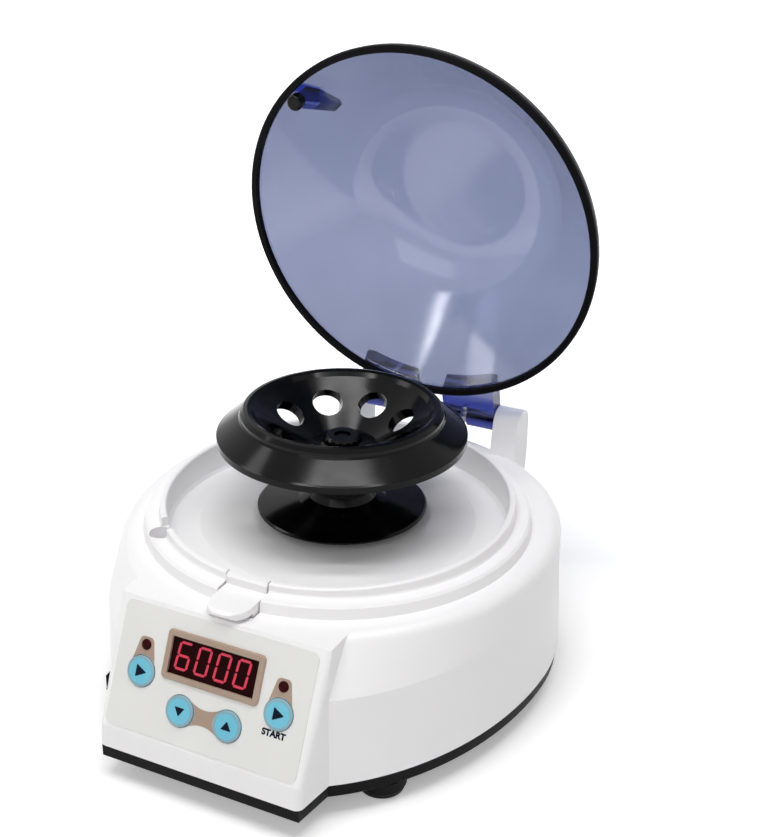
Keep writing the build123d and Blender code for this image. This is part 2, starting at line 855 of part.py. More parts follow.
def lid_dome():
    """Clear dome with its hinge lugs and the interlock rib."""
    dome = lid_shell(0) - lid_shell(lid_wall)
    for side in (-1, 1):
        dome += lid_lug(side) - lid_shell(0)
    dome += lid_finger() & lid_shell(lid_wall / 2)
    low_part = lid_finger() & block((-90, 90), (-90, 90), (lid_rim_z - 20, lid_rim_z + 0.5))
    dome += low_part
    bore = cross_rod(hinge_pin_radius + running_clearance, -40, 40, hinge_y, hinge_z)
    return dome - bore


def lid_edge_seal():
    """Black rubber edging that grips the lid's rim."""
    inner = lid_outer_radius - lid_edge_overlap - lid_wall - seal_lip
    ring = turned([
        (inner, lid_rim_z - 0.3),
        (inner + 0.3, lid_rim_z - 0.45),
        (lid_outer_radius - 0.5, lid_rim_z - 0.45),
        (lid_outer_radius, lid_rim_z),
        (lid_outer_radius, lid_rim_z + seal_height - 0.4),
        (lid_outer_radius - 0.4, lid_rim_z + seal_height),
        (inner, lid_rim_z + seal_height),
    ], ring_middle_y)
    ring -= lid_shell(0) - lid_shell(lid_wall)
    return ring


def interlock_tip():
    """Round magnetic tip at the end of the lid's finger."""
    x, y = finger_point(finger_ring_radius - 0.5)
    top = lid_rim_z - finger_drop
    tip = rod(finger_tip_radius, top - finger_tip_length, top, x, y)
    return fillet(tip.edges().filter_by_position(Axis.Z, top - finger_tip_length - 0.1, top - finger_tip_length + 0.1), 1.0)


def opened(shape):
    """Swing a lid piece from closed to its open rest pose."""
    hinge = Pos(0, hinge_y, hinge_z)
    return hinge * Rot(-lid_open_angle, 0, 0) * Pos(0, -hinge_y, -hinge_z) * shape


def lid_sensor():
    """Small sensor block under the finger's socket."""
    x, y = finger_point(finger_ring_radius)
    top = ring_top_z - socket_depth - 2
    body = Pos(x, y, top - 1.5) * Rot(0, 0, -finger_angle) * Box(9, 12, 3)
    return body


def hinge_pin():
    """Steel rod through both towers and the lid's lugs."""
    far = lug_outer_x + tower_side_gap + tower_thickness - 1.5
    pin = cross_rod(hinge_pin_radius, -far, far, hinge_y, hinge_z)
    return chamfer(pin.edges().filter_by(GeomType.CIRCLE), 0.3)


def latch_lever():
    """Rocking lever with a rounded thumb tongue in front of the ring."""
    top = deck_z + lever_tongue_top
    side = [
        (lever_front_y, top - lever_tongue_thickness + 0.8),
        (lever_front_y + 1.2, top - lever_tongue_thickness),
        (lever_pin_y - 2.6, top - lever_tongue_thickness),
        (lever_pin_y - 2.6, deck_z - 4.6),
        (lever_back_y, deck_z - 4.6),
        (lever_back_y, ring_top_z + bead_front_height),
        (lever_wall_front_y + 0.8, ring_top_z + bead_front_height),
        (lever_wall_front_y, ring_top_z + bead_front_height - 1),
        (lever_wall_front_y, top),
        (lever_front_y + 1.6, top),
        (lever_front_y, top - 0.7),
    ]
    body = extrude(Plane.YZ * make_face(Polyline(*side, close=True)), lever_half_width, both=True)
    reach = lever_back_y - lever_front_y
    plan = Pos(0, (lever_back_y + lever_front_y) / 2) * RectangleRounded(2 * lever_half_width, reach, 6.5)
    square = block((-lever_half_width, lever_half_width), (lever_front_y + 7, lever_back_y), (0, 200))
    body = body & (extrude(plan, 200) + square)
    return body - cross_rod(lever_pin_radius + running_clearance, -20, 20, lever_pin_y, deck_z - lever_pin_drop)


def latch_pin():
    """Pin that the release lever rocks on."""
    far = lever_half_width + 2
    return cross_rod(lever_pin_radius, -far, far, lever_pin_y, deck_z - lever_pin_drop)


def panel_overlay():
    """Thin printed sheet on the panel, cut for display, keys and lamps."""
    width = 2 * overlay_half_width
    height = overlay_high - overlay_low
    sheet = extrude(RectangleRounded(width, height, 2.5), overlay_thickness)
    sheet = on_panel(sheet, 0, (overlay_high + overlay_low) / 2, 0)
    return sheet - panel_openings()


def display_bezel():
    """Raised frame round the display."""
    outer = RectangleRounded(window_width + 2 * bezel_border, window_height + 2 * bezel_border, 1.6)
    flange = extrude(outer, bezel_proud)
    flange = chamfer(flange.edges().filter_by_position(Axis.Z, bezel_proud - 0.1, bezel_proud + 0.1), 0.4)
    skirt = Pos(0, 0, -1.4) * Box(window_width + 0.5, window_height + 0.5, 2.8)
    frame = flange + skirt - Box(window_width - 0.8, window_height - 0.8, 20)
    return on_panel(frame, 0, window_middle, -overlay_thickness)


def display_window():
    """Dark red filter that fills the bezel."""
    filter_sheet = Pos(0, 0, -1.0) * Box(window_width - 0.8, window_height - 0.8, 1.6)
    return on_panel(filter_sheet, 0, window_middle, -overlay_thickness)


def display_module():
    """Four-digit lamp block on the control board."""
    depth = board_depth - 2.9
    body = Box(30.2, 12.0, depth)
    return on_panel(body, 0, window_middle, board_depth - depth / 2)


def control_board():
    """Board behind the panel."""
    height = board_high - board_low
    board = Box(2 * board_half_width, height, board_thickness)
    board = on_panel(board, 0, (board_high + board_low) / 2, board_depth + board_thickness / 2)
    for x, place in board_post_places():
        board -= on_panel(Cylinder(1.1, 10), x, place, board_depth)
    return board


def board_screws():
    """Screws through the board into the panel posts."""
    screws = []
    for x, height in board_post_places():
        head = Pos(0, 0, -board_thickness - 0.6) * Cylinder(2.0, 1.2)
        shank = Pos(0, 0, 1.0) * Cylinder(1.0, 2 * board_thickness + 2.0)
        screws.append(on_panel(head + shank, x, height, board_depth))
    return screws


def tact_switches():
    """Small push switches on the board, one behind each key."""
    switches = []
    for x, height in key_places().values():
        body = Pos(0, 0, 1.6) * Box(6, 6, 3.2)
        plunger = Pos(0, 0, 3.5) * Cylinder(1.7, 1.0)
        switches.append(on_panel(body + plunger, x, height, board_depth))
    return switches


def indicator_leds():
    """Domed lamps that stand up through the panel."""
    lamps = []
    for x in (-led_x, led_x):
        length = board_depth - 0.6
        lamp = Pos(0, 0, length / 2) * Cylinder(led_radius, length)
        lamp = fillet(lamp.edges().filter_by_position(Axis.Z, length - 0.1, length + 0.1), 1.2)
        lamps.append(on_panel(lamp, x, led_height, board_depth))
    return lamps


def key(x, height):
    """Round key with a flange behind the panel wall and a stem."""
    back = shell_wall + 0.15
    cap = rod(key_radius, -back, overlay_thickness + key_proud)
    cap = fillet(cap.edges().filter_by_position(Axis.Z, overlay_thickness + key_proud - 0.1, 99), 0.4)
    flange = rod(key_radius + key_flange, -back - 1.0, -back)
    stem = rod(2.0, key_travel + 0.1 - switch_tip_depth, -back - 1.0)
    return on_panel(cap + flange + stem, x, height, 0)


def dc_jack():
    """Threaded power inlet with its socket and centre pin."""
    seat = jack_y()
    outline = turned([
        (0, 1.0),
        (jack_flange_radius - 0.4, 1.0),
        (jack_flange_radius, 0.6),
        (jack_flange_radius, 0),
        (jack_thread_radius, 0),
        (jack_thread_radius, -jack_length),
        (0, -jack_length),
    ])
    bore = rod(jack_bore_radius, -jack_length + 2, 2) - rod(jack_pin_radius, -jack_length + 1, -1)
    return Pos(0, seat, jack_z) * Rot(-90, 0, 0) * (outline - bore)


def jack_nut():
    """Hexagonal nut that clamps the inlet from inside."""
    seat = jack_y() - 3.5
    nut = extrude(RegularPolygon(jack_thread_radius + 3, 6), 2.2) - Cylinder(jack_thread_radius, 10)
    return Pos(0, seat, jack_z) * Rot(90, 0, 0) * nut


def rocker_frame():
    """Frame of the power switch in the chin's side wall."""
    border = 2 * rocker_frame_border
    depth = 5.5
    flange = Pos(-rocker_frame_proud / 2 - 0.15, 0, 0)
    flange *= Box(rocker_frame_proud - 0.3, rocker_width + border, rocker_height + border)
    body = Pos(depth / 2 - 0.5, 0, 0) * Box(depth, rocker_width - 0.1, rocker_height - 0.1)
    well = Pos(1, 0, 0) * Box(6, rocker_width - 1.2, rocker_height - 1.2)
    return switch_seat() * (flange + body - well - rocker_axle(rocker_pivot_radius + running_clearance))


def rocker_axle(radius):
    """Cross axle of the rocker at its pivot depth."""
    length = rocker_width - 0.4
    return Pos(rocker_pivot_depth, 0, 0) * Rot(90, 0, 0) * Cylinder(radius, length)


def power_rocker():
    """Rocker of the power switch, its lower half standing out."""
    half = rocker_height / 2 - 1.4
    profile = [
        (2.8, half - 1),
        (2.8, 1 - half),
        (-1.2, -half),
        (-2.3, 0.3 - half),
        (-1.0, 0),
        (-0.9, half),
    ]
    outline = make_face(Polyline(*profile, close=True))
    body = extrude(Plane.XZ * outline, (rocker_width - 1.5) / 2, both=True)
    return switch_seat() * (body + rocker_axle(rocker_pivot_radius))


def build():
    """Make every node about the rotor axis."""
    made = {
        "upper_housing": upper_housing(),
        "base_plate": base_plate(),
        "rubber_feet": rubber_feet(),
        "housing_screws": housing_screws(),
        "motor": motor(),
        "motor_plate": motor_plate(),
        "motor_standoffs": motor_standoffs(),
        "mount_grommets": mount_grommets(),
        "plate_screws": plate_screws(),
        "motor_screws": motor_screws(),
        "spindle_shroud": spindle_shroud(),
        "motor_shaft": motor_shaft(),
        "spindle": spindle(),
        "rotor": rotor(),
        "rotor_nut": rotor_nut(),
        "control_board": control_board(),
        "board_screws": board_screws(),
        "tact_switches": tact_switches(),
        "display_module": display_module(),
        "display_bezel": display_bezel(),
        "display_window": display_window(),
        "panel_overlay": panel_overlay(),
        "indicator_leds": indicator_leds(),
        "latch_lever": latch_lever(),
        "latch_pin": latch_pin(),
        "lid_dome": opened(lid_dome()),
        "lid_edge_seal": opened(lid_edge_seal()),
        "interlock_tip": opened(interlock_tip()),
        "lid_sensor": lid_sensor(),
        "hinge_pin": hinge_pin(),
        "dc_jack": dc_jack(),
        "jack_nut": jack_nut(),
        "rocker_frame": rocker_frame(),
        "power_rocker": power_rocker(),
    }
    for name, place in key_places().items():
        made[name] = key(*place)
    return made


def write_nodes(made):
    """Move the footprint's middle to the origin and write the parts."""
    os.makedirs("parts", exist_ok=True)
    everything = Compound(children=[as_compound(shape) for shape in made.values()])
    box = everything.bounding_box()
    middle = (box.min + box.max) * 0.5
    for name, shape in made.items():
        placed = Pos(-middle.X, -middle.Y, 0) * as_compound(shape)
        export_step(placed, f"parts/{name}.step")
    print("origin shift", round(-middle.X, 3), round(-middle.Y, 3))


def as_compound(shape):
    """One compound from a solid, a part or a list of them."""
    solids = []
    for piece in shape if isinstance(shape, list) else [shape]:
        solids.extend(piece.solids())
    return Compound(children=solids)


write_nodes(build())
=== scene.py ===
"""Looks of a mini centrifuge: finishes, key symbols, lamp digits and light."""

import math

import bmesh
import bpy
from mathutils import Matrix, Vector


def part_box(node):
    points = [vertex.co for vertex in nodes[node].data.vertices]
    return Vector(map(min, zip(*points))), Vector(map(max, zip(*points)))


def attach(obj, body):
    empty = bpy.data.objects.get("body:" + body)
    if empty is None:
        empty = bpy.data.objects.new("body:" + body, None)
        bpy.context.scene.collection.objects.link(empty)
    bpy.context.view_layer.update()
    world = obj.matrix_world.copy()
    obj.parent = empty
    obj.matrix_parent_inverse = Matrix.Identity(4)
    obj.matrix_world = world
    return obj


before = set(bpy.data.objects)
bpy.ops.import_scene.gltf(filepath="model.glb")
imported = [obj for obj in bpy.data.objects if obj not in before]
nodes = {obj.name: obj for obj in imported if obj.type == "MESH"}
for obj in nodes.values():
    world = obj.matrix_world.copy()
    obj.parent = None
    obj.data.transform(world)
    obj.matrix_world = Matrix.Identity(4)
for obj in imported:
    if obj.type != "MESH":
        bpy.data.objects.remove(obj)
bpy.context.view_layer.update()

MM = 0.001

# The rotor's upright axis, which the panel, the hinge and the camera are placed from
rotor_low, rotor_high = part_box("rotor")
ROTOR_AXIS = Vector(((rotor_low[0] + rotor_high[0]) / 2, (rotor_low[1] + rotor_high[1]) / 2, 0))

# Key panel: where its lower edge lies, the way up its slope and the way out of it
PANEL_LOW = ROTOR_AXIS + Vector((0, -101.0, 20.6)) * MM
PANEL_UP = Vector((0, 0.41681, 0.90899))
PANEL_OUT = Vector((0, -0.90899, 0.41681))

# Places on the panel in millimetres: right of its middle and up its slope
SIDE_KEY = (26.1, 21.2)
ARROW_KEY = (9.0, 12.4)
LAMP = (26.0, 30.2)
DIGITS_PLACE = (-0.5, 30.0)
WORD_PLACE = (25.7, 14.6)

# How far the printed sheet, the keys and the window stand out of the panel, in millimetres
SHEET_TOP = 0.30
KEY_TOP = 0.90
WINDOW_TOP = 0.10


def panel_matrix(x, height, lift):
    """Place on the panel: local X to the right, local Y up the slope, millimetres."""
    spot = PANEL_LOW + Vector((x * MM, 0, 0)) + PANEL_UP * (height * MM) + PANEL_OUT * (lift * MM)
    turn = Matrix((Vector((1, 0, 0)), PANEL_UP, PANEL_OUT)).transposed().to_4x4()
    return Matrix.Translation(spot) @ turn @ Matrix.Scale(MM, 4)


# Node helpers

def feed(tree, socket, source):
    """Join a socket to another node's output, or give it a plain value."""
    if isinstance(source, bpy.types.NodeSocket):
        tree.links.new(source, socket)
    else:
        socket.default_value = source


def add_node(tree, kind, sources, operation=None):
    """New node whose inputs are plain values or other nodes' outputs."""
    node = tree.nodes.new("ShaderNode" + kind)
    if operation:
        node.operation = operation
    for key, source in sources.items():
        feed(tree, node.inputs[key], source)
    return node


def calculate(tree, operation, *values):
    """Result of a sum on numbers."""
    return add_node(tree, "Math", dict(enumerate(values)), operation).outputs["Value"]


def calculate_vector(tree, operation, *values):
    """Result of a sum on vectors: a number for a length or a dot product, else a vector."""
    node = add_node(tree, "VectorMath", dict(enumerate(values)), operation)
    return node.outputs["Value" if operation in ("LENGTH", "DOT_PRODUCT") else "Vector"]


def noise(tree, place, scale, detail, warp=0.0):
    """Noise over a place, with its scale in cells a metre."""
    sources = {"Vector": place, "Scale": scale, "Detail": detail, "Distortion": warp}
    return add_node(tree, "TexNoise", sources).outputs["Fac"]


def ramp(tree, value, low, high, at_low=0.0, at_high=1.0):
    """Value that goes from at_low to at_high while another goes from low to high."""
    ends = {"From Min": low, "From Max": high, "To Min": at_low, "To Max": at_high}
    return add_node(tree, "MapRange", {"Value": value, **ends}).outputs["Result"]


def mix_colours(tree, share, first, second):
    """Colour between two others."""
    blend = tree.nodes.new("ShaderNodeMix")
    blend.data_type = "RGBA"
    for key, source in (("Factor", share), ("A", first), ("B", second)):
        feed(tree, blend.inputs[key], source)
    return blend.outputs["Result"]


def mix_shaders(tree, share, first, second):
    """Shader between two others."""
    return add_node(tree, "MixShader", {"Fac": share, 1: first, 2: second}).outputs["Shader"]


def object_place(tree):
    """Place on the piece, in its own frame."""
    return tree.nodes.new("ShaderNodeTexCoord").outputs["Object"]


# Surface groups

# Noise scales in cells a metre, and the part of each noise's values that shows
DRIFT_SCALE, DRIFT_SPREAD = 38.0, (0.35, 0.7)
FLECK_SCALE, FLECK_SPREAD = 620.0, (0.56, 0.72)
SMEAR_SCALE, SMEAR_WARP = 95.0, 0.8
PATINA_SCALE, PATINA_SHADES = 160.0, (0.82, 1.05)
GLOSS_SPREAD = (0.3, 0.7)

# Dust: its colour, the upward slopes that it lies on, and how much it dulls
DUST_COLOUR = (0.55, 0.54, 0.52, 1)
DUST_SLOPES = (0.75, 1.0)
DUST_DULLING = 0.5

# Noise drawn out sideways, so that it forms rings round an upright axis
RING_STRETCH = (0.04, 0.04, 1.0)


def new_group(name, inputs):
    """Node group with its inputs, which puts out a colour, a roughness and a height."""
    group = bpy.data.node_groups.new(name, "ShaderNodeTree")
    for label, value in inputs.items():
        kind = "NodeSocketFloat" if isinstance(value, float) else "NodeSocketColor"
        socket = group.interface.new_socket(label, in_out="INPUT", socket_type=kind)
        socket.default_value = value
    for label, kind in (("Colour", "Color"), ("Roughness", "Float"), ("Height", "Float")):
        group.interface.new_socket(label, in_out="OUTPUT", socket_type="NodeSocket" + kind)
    given = group.nodes.new("NodeGroupInput").outputs
    result = group.nodes.new("NodeGroupOutput").inputs
    return group, given, result


def moulded_surface():
    """Moulded plastic: slight colour drift, uneven gloss, fine skin and settled dust."""
    group, given, result = new_group("moulded_surface", {
        "Colour": (0.8, 0.8, 0.8, 1),
        "Second Colour": (0.7, 0.7, 0.7, 1),
        "Gloss Low": 0.25,
        "Gloss High": 0.35,
        "Grain Scale": 1500.0,
        "Dust": 0.0,
    })
    place = object_place(group)
    drift = ramp(group, noise(group, place, DRIFT_SCALE, detail=4.0), *DRIFT_SPREAD)
    tone = mix_colours(group, drift, given["Colour"], given["Second Colour"])

    normal = group.nodes.new("ShaderNodeNewGeometry").outputs["Normal"]
    upward = add_node(group, "SeparateXYZ", {"Vector": normal}).outputs["Z"]
    flat = ramp(group, upward, *DUST_SLOPES)
    flecks = ramp(group, noise(group, place, FLECK_SCALE, detail=5.0), *FLECK_SPREAD)
    settled = calculate(group, "MULTIPLY", flat, flecks)
    dust = calculate(group, "MULTIPLY", settled, given["Dust"])
    feed(group, result["Colour"], mix_colours(group, dust, tone, DUST_COLOUR))

    smear = noise(group, place, SMEAR_SCALE, detail=6.0, warp=SMEAR_WARP)
    gloss = ramp(group, smear, *GLOSS_SPREAD, given["Gloss Low"], given["Gloss High"])
    feed(group, result["Roughness"], calculate(group, "MULTIPLY_ADD", dust, DUST_DULLING, gloss))
    feed(group, result["Height"], noise(group, place, given["Grain Scale"], detail=3.0))
    return group


def turned_metal():
    """Metal with fine rings round an upright axis, as a lathe or a draw die leaves."""
    group, given, result = new_group("turned_metal", {
        "Colour": (0.6, 0.6, 0.6, 1),
        "Ring Scale": 900.0,
        "Gloss Low": 0.22,
        "Gloss High": 0.4,
    })
    place = object_place(group)
    drawn_out = calculate_vector(group, "MULTIPLY", place, RING_STRETCH)
    rings = noise(group, drawn_out, given["Ring Scale"], detail=4.0)
    feed(group, result["Height"], rings)
    gloss = ramp(group, rings, *GLOSS_SPREAD, given["Gloss Low"], given["Gloss High"])
    feed(group, result["Roughness"], gloss)
    patina = noise(group, place, PATINA_SCALE, detail=2.0)
    shade = ramp(group, patina, 0.0, 1.0, *PATINA_SHADES)
    sources = {0: given["Colour"], "Scale": shade}
    tinted = add_node(group, "VectorMath", sources, "SCALE").outputs["Vector"]
    feed(group, result["Colour"], tinted)
    return group


MOULDED = moulded_surface()
TURNED = turned_metal()


# Materials

PLASTIC_BUMP = 0.5
METAL_BUMP = 0.4
METAL_DEPTH = 0.01


def blank_material(name):
    """Material with a plain Principled shader; returns it with its tree and that shader."""
    material = bpy.data.materials.new(name)
    material.use_nodes = True
    tree = material.node_tree
    return material, tree, tree.nodes["Principled BSDF"]


def add_surface(tree, shader, group, values):
    """Put a surface group in a material, which gives the shader its colour and roughness."""
    skin = tree.nodes.new("ShaderNodeGroup")
    skin.node_tree = group
    for label, value in values.items():
        skin.inputs[label].default_value = value
    tree.links.new(skin.outputs["Colour"], shader.inputs["Base Color"])
    tree.links.new(skin.outputs["Roughness"], shader.inputs["Roughness"])
    return skin


def add_bump(tree, shader, height, depth, strength):
    """Bump from a height, with its depth in millimetres."""
    sources = {"Height": height, "Distance": depth * MM, "Strength": strength}
    bump = add_node(tree, "Bump", sources)
    tree.links.new(bump.outputs["Normal"], shader.inputs["Normal"])


def plastic(name, colour, second, gloss, grain=1500.0, depth=0.02, dust=0.0, shine=0.5):
    """Moulded plastic, rubber or printed film."""
    material, tree, shader = blank_material(name)
    skin = add_surface(tree, shader, MOULDED, {
        "Colour": (*colour, 1),
        "Second Colour": (*second, 1),
        "Gloss Low": gloss[0],
        "Gloss High": gloss[1],
        "Grain Scale": grain,
        "Dust": dust,
    })
    add_bump(tree, shader, skin.outputs["Height"], depth, PLASTIC_BUMP)
    shader.inputs["Specular IOR Level"].default_value = shine
    return material


def metal(name, colour, gloss):
    """Turned or drawn metal."""
    material, tree, shader = blank_material(name)
    skin = add_surface(tree, shader, TURNED, {
        "Colour": (*colour, 1),
        "Gloss Low": gloss[0],
        "Gloss High": gloss[1],
    })
    add_bump(tree, shader, skin.outputs["Height"], METAL_DEPTH, METAL_BUMP)
    shader.inputs["Metallic"].default_value = 1.0
    return material


def glowing(name, colour, second, gloss, strength):
    """Lit lamp segments behind a red filter."""
    material = plastic(name, colour, second, gloss)
    tree = material.node_tree
    shader = tree.nodes["Principled BSDF"]
    tree.links.new(tree.nodes["Group"].outputs["Colour"], shader.inputs["Emission Color"])
    shader.inputs["Emission Strength"].default_value = strength
    return material


# Lid: two near tints, the deep blue of its thick parts, and what lamps see through it
LID_TINT = (0.155, 0.175, 0.275, 1)
LID_SECOND_TINT = (0.165, 0.187, 0.29, 1)
LID_DEEP_BLUE = (0.016, 0.026, 0.19, 1)
LID_LAMP_TINT = (0.62, 0.66, 0.77, 1)
LID_GLOSS = (0.09, 0.14)
LID_IOR = 1.5

# Thick parts of the open lid: the lugs round the hinge's axis, and the rib that carries the tip.
# Each fades from the first distance to the second, in metres.
HINGE_SPOT = tuple(ROTOR_AXIS + Vector((0, 78.8, 72.9)) * MM)
ACROSS_HINGE = (0, 1, 1)
LUG_REACH = (9.5 * MM, 12.5 * MM)
tip_low, tip_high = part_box("interlock_tip")
FINGER_SPOT = tuple((Vector(tip_low) + Vector(tip_high)) / 2)
FINGER_ASIDE = (0.719, -0.112, 0.686)
FINGER_REACH = (15.0 * MM, 16.0 * MM)
RIB_HALF_WIDTH = (2.4 * MM, 3.0 * MM)


def near(tree, distance, reach):
    """Value that is 1 within the first distance of reach and 0 past the second."""
    inner, outer = reach
    return ramp(tree, distance, outer, inner)


def clear_lid():
    """Tinted clear polycarbonate, deeper where the hinge lugs and the finger are thick."""
    material, tree, shader = blank_material("tinted_polycarbonate")
    skin = add_surface(tree, shader, MOULDED, {
        "Colour": LID_TINT,
        "Second Colour": LID_SECOND_TINT,
        "Gloss Low": LID_GLOSS[0],
        "Gloss High": LID_GLOSS[1],
    })
    place = object_place(tree)
    from_hinge = calculate_vector(tree, "SUBTRACT", place, HINGE_SPOT)
    from_axis = calculate_vector(tree, "MULTIPLY", from_hinge, ACROSS_HINGE)
    lugs = near(tree, calculate_vector(tree, "LENGTH", from_axis), LUG_REACH)

    from_tip = calculate_vector(tree, "SUBTRACT", place, FINGER_SPOT)
    along = near(tree, calculate_vector(tree, "LENGTH", from_tip), FINGER_REACH)
    aside = calculate_vector(tree, "DOT_PRODUCT", from_tip, FINGER_ASIDE)
    across = near(tree, calculate(tree, "ABSOLUTE", aside), RIB_HALF_WIDTH)
    finger = calculate(tree, "MULTIPLY", across, along)

    thick = calculate(tree, "MAXIMUM", lugs, finger)
    colour = mix_colours(tree, thick, skin.outputs["Colour"], LID_DEEP_BLUE)
    feed(tree, shader.inputs["Base Color"], colour)
    shader.inputs["Transmission Weight"].default_value = 1.0
    shader.inputs["IOR"].default_value = LID_IOR

    # Lamps shine through the lid, so that the bowl is lit when it is closed
    clear = add_node(tree, "BsdfTransparent", {"Color": LID_LAMP_TINT}).outputs["BSDF"]
    is_lamp = tree.nodes.new("ShaderNodeLightPath").outputs["Is Shadow Ray"]
    surface = mix_shaders(tree, is_lamp, shader.outputs["BSDF"], clear)
    feed(tree, tree.nodes["Material Output"].inputs["Surface"], surface)
    return material


white_body = plastic(
    "white_moulding", (0.90, 0.893, 0.90), (0.893, 0.885, 0.892), (0.28, 0.36),
    grain=900.0, depth=0.003, shine=0.4,
)
black_base = plastic(
    "black_moulding", (0.003, 0.003, 0.0035), (0.006, 0.006, 0.0065), (0.38, 0.5),
    grain=2200.0, depth=0.06, shine=0.08,
)
rubber = plastic(
    "foot_rubber", (0.003, 0.003, 0.003), (0.006, 0.006, 0.006), (0.55, 0.7),
    grain=1800.0, depth=0.08, shine=0.1,
)
gloss_black = plastic(
    "rotor_black", (0.001, 0.001, 0.0012), (0.002, 0.002, 0.0022), (0.11, 0.16),
    grain=700.0, depth=0.006, dust=0.01, shine=0.14,
)
seal_black = plastic(
    "seal_rubber", (0.002, 0.002, 0.003), (0.005, 0.005, 0.006), (0.35, 0.5),
    grain=1600.0, depth=0.04, shine=0.05,
)
key_rim = plastic("key_rim", (0.24, 0.40, 0.47), (0.20, 0.35, 0.42), (0.3, 0.42))
key_blue = plastic("key_blue", (0.16, 0.53, 0.68), (0.13, 0.48, 0.63), (0.25, 0.38))
film_grey = plastic(
    "panel_film", (0.77, 0.77, 0.745), (0.74, 0.74, 0.715), (0.38, 0.5),
    grain=3500.0, depth=0.03,
)
taupe = plastic(
    "taupe_frame", (0.40, 0.30, 0.235), (0.35, 0.255, 0.195), (0.4, 0.5),
    grain=2500.0, shine=0.3,
)
dark_window = plastic(
    "red_filter", (0.012, 0.0007, 0.001), (0.018, 0.001, 0.0015), (0.08, 0.14),
    grain=600.0, depth=0.003, shine=0.04,
)
lamp_red = plastic(
    "lamp_red", (0.035, 0.0015, 0.0025), (0.022, 0.001, 0.0018), (0.12, 0.2),
    grain=900.0, depth=0.005, shine=0.05,
)
navy_print = plastic(
    "navy_print", (0.003, 0.008, 0.02), (0.005, 0.011, 0.026), (0.4, 0.5),
    grain=2500.0, depth=0.01, shine=0.06,
)
board_green = plastic("solder_mask", (0.02, 0.16, 0.07), (0.015, 0.12, 0.05), (0.25, 0.35))
steel = metal("zinc_steel", (0.58, 0.59, 0.60), (0.24, 0.4))
brass = metal("post_brass", (0.72, 0.55, 0.27), (0.22, 0.35))
anodised = metal("black_anodised", (0.02, 0.02, 0.022), (0.25, 0.4))
lid_clear = clear_lid()
digit_glow = glowing("lit_segments", (0.34, 0.012, 0.035), (0.272, 0.0096, 0.028), (0.3, 0.4), 1.0)

FINISHES = {
    white_body: ("upper_housing", "latch_lever"),
    black_base: (
        "base_plate", "rocker_frame", "power_rocker", "dc_jack", "lid_sensor", "tact_switches",
    ),
    rubber: ("rubber_feet", "mount_grommets"),
    gloss_black: ("rotor", "rotor_nut", "spindle_shroud", "interlock_tip"),
    seal_black: ("lid_edge_seal",),
    key_rim: ("key_pulse", "key_start", "key_down", "key_up"),
    film_grey: ("panel_overlay",),
    taupe: ("display_bezel",),
    dark_window: ("display_window", "display_module"),
    lamp_red: ("indicator_leds",),
    board_green: ("control_board",),
    steel: (
        "housing_screws", "motor", "motor_plate", "plate_screws", "motor_screws", "motor_shaft",
        "board_screws", "latch_pin", "hinge_pin", "jack_nut",
    ),
    brass: ("motor_standoffs",),
    anodised: ("spindle",),
    lid_clear: ("lid_dome",),
}

for finish, names in FINISHES.items():
    for name in names:
        for material_slot in nodes[name].material_slots:
            material_slot.material = finish


# Printed and lit marks on the key panel, each modelled flat in millimetres. An arrow's size is
# its length and width, and it is drawn from a triangle in a circle of radius 1.

PRINT = 0.05
KEY_DISC_RADIUS = 4.2
KEY_CLEARANCE_RADIUS = 5.5
SIDE_ARROW = (4.0, 4.3)
STEP_ARROW = (3.0, 3.8)
SIDE_ARROW_SHIFT = 0.1
ARROW_CORNER = 0.3
TRIANGLE_HEIGHT = 1.5
TRIANGLE_BASE = math.sqrt(3)
WEDGE_LOW_WIDTH = 9.6
WEDGE_TOP_WIDTH = 4.8
WEDGE_HEIGHT = 10.5
WEDGE_OVER_LAMP = 2.6
WEDGE_CORNER = 1.3
WEDGE_CORNER_STEPS = 6
LENS_RADIUS = 1.85
LENS_RISE = 0.75
BAND_LENGTH = 11.0
BAND_HEIGHT = 8.4
BAND_WAIST = 0.62
BAND_HALF_STEPS = 4
SEGMENT_WIDTH = 0.85
SEGMENT_GAP = 0.22
SEGMENT_TIP = 0.02
DIGIT_WIDTH = 4.3
DIGIT_HEIGHT = 8.8
DIGIT_PITCH = 7.4
DIGIT_SLANT = 0.10
WORD_SIZE = 2.9
WORD_WEIGHT = 0.15

# Bars of a figure: halves of the width and height from its middle, and the turn in degrees
SEGMENTS = {
    "a": (0, 1, 0),
    "b": (1, 0.5, 90),
    "c": (1, -0.5, 90),
    "d": (0, -1, 0),
    "e": (-1, -0.5, 90),
    "f": (-1, 0.5, 90),
    "g": (0, 0, 0),
}
LIT = {"0": "abcdef", "6": "acdefg"}


def hold(piece):
    """Make one piece the only one selected and the active one."""
    bpy.ops.object.select_all(action="DESELECT")
    piece.select_set(True)
    bpy.context.view_layer.objects.active = piece


def apply_place(piece):
    """Put a piece's place and turn into its mesh."""
    hold(piece)
    bpy.ops.object.transform_apply(location=True, rotation=True, scale=True)


def open_new(name):
    """Name the piece just added and open it for editing with all of it selected."""
    piece = bpy.context.object
    piece.name = name
    hold(piece)
    bpy.ops.object.mode_set(mode="EDIT")
    bpy.ops.mesh.select_all(action="SELECT")
    return piece


def new_sheet(name, width, height):
    """Flat rectangle about the origin, open for editing."""
    bpy.ops.mesh.primitive_plane_add(size=1)
    piece = open_new(name)
    bpy.ops.transform.resize(value=(width, height, 1))
    return piece


def pick_corners(piece, wanted):
    """Select the corners of the edited mesh whose place is wanted."""
    bpy.ops.mesh.select_mode(type="VERT")
    work = bmesh.from_edit_mesh(piece.data)
    for corner in work.verts:
        corner.select_set(bool(wanted(corner.co)))
    work.select_flush_mode()
    bmesh.update_edit_mesh(piece.data)


